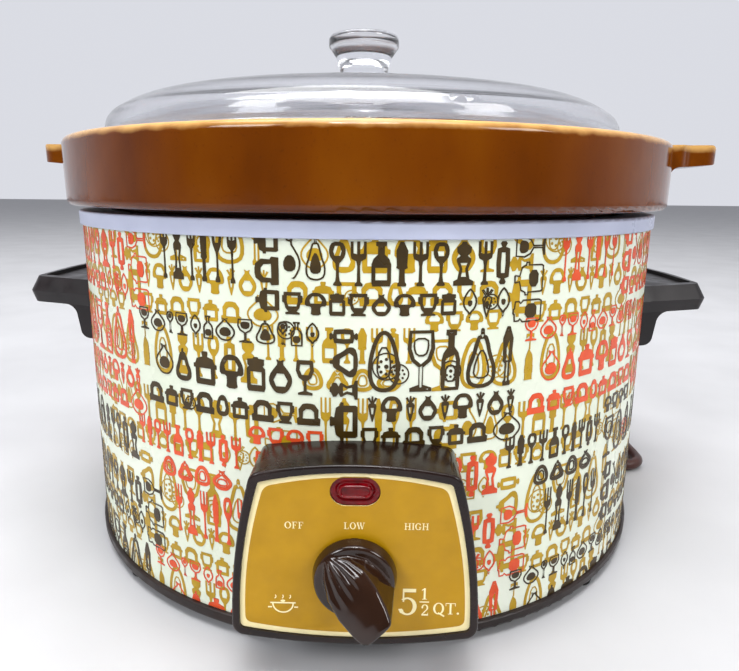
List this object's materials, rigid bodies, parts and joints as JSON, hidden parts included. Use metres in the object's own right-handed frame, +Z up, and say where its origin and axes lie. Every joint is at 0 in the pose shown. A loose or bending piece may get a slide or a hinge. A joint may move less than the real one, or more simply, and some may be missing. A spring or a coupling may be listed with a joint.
{
  "type": "slow cooker",
  "caption": "Round countertop slow cooker: stoneware crock with a glass lid in an electrically heated printed steel body with side handles and a front control knob.",
  "frame": {"origin": "bottom centre of the cooker's box without its cord, on the surface that it stands on; the round body's axis is 16.6 mm behind it (+Y)", "axes": "+Z up, -Y towards the user (control panel), +X to the user's right along the line of the two side handles"},
  "size_m": [0.3267, 0.3956, 0.2303],
  "materials": {
    "lid_glass": "clear pressed glass",
    "crock_glaze": "glossy brown glaze",
    "printed_steel": "satin printed enamel",
    "trim_ring": "satin white enamel",
    "well_metal": "spun, slightly dull",
    "heater_foil": "foil over mica",
    "insulation": "glass fibre mat",
    "zinc_steel": "zinc plated",
    "base_plastic": "dark brown",
    "foot_rubber": "matte",
    "handle_phenolic": "satin, nearly black brown",
    "housing_plastic": "glossy dark brown",
    "panel_print": "mustard with a cream border",
    "lens_red": "translucent deep red",
    "knob_plastic": "glossy dark brown",
    "spring_steel": "bright",
    "lamp_glass": "neon tube",
    "resistor_body": "moulded",
    "switch_case": "phenolic",
    "brass": "plain",
    "lead_sleeve": "glass fibre sleeving",
    "connector_cap": "nylon",
    "cord_plastic": "dark brown vinyl",
    "tie_band": "paper covered wire"
  },
  "bodies": {
    "base": {"outer_shell": "printed_steel", "top_trim_ring": "trim_ring", "heating_well": "well_metal", "heater_band_lower": "heater_foil", "heater_band_upper": "heater_foil", "band_clamp_screws": "zinc_steel", "insulation_blanket": "insulation", "base_ring": "base_plastic", "rubber_feet": "foot_rubber", "bottom_cover": "zinc_steel", "clamp_stud": "zinc_steel", "clamp_washer": "zinc_steel", "clamp_nut": "zinc_steel", "handle_right": "handle_phenolic", "handle_left": "handle_phenolic", "handle_screws": "zinc_steel", "control_housing": "housing_plastic", "control_housing_screws": "zinc_steel", "face_plate": "panel_print", "indicator_lens": "lens_red", "neon_lamp": "lamp_glass", "lamp_resistor": "resistor_body", "lamp_leads": "lead_sleeve", "switch_body": "switch_case", "switch_nut": "zinc_steel", "switch_terminals": "brass", "heater_leads": "lead_sleeve", "wire_connectors": "connector_cap", "supply_leads": "cord_plastic", "strain_relief": "cord_plastic", "power_cord": "cord_plastic", "power_cord_hank": "cord_plastic", "power_cord_tail": "cord_plastic", "cord_tie": "tie_band", "plug_body": "cord_plastic", "plug_blades": "brass"},
    "crock": {"stoneware_crock": "crock_glaze"},
    "lid": {"glass_lid": "lid_glass"},
    "knob": {"control_knob": "knob_plastic", "knob_spring_clip": "spring_steel", "switch_shaft": "brass"}
  },
  "joints": [
    {"name": "crock_lift", "type": "slide", "parent": "base", "child": "crock", "axis": [0, 0, 1], "range_m": [0, 0.16]},
    {"name": "lid_lift", "type": "slide", "parent": "crock", "child": "lid", "axis": [0, 0, 1], "range_m": [0, 0.12]},
    {"name": "knob_turn", "type": "hinge", "parent": "base", "child": "knob", "pos_m": [0, -0.1394, 0.0424], "axis": [0, 1, 0], "range_deg": [0, 90]}
  ]
}
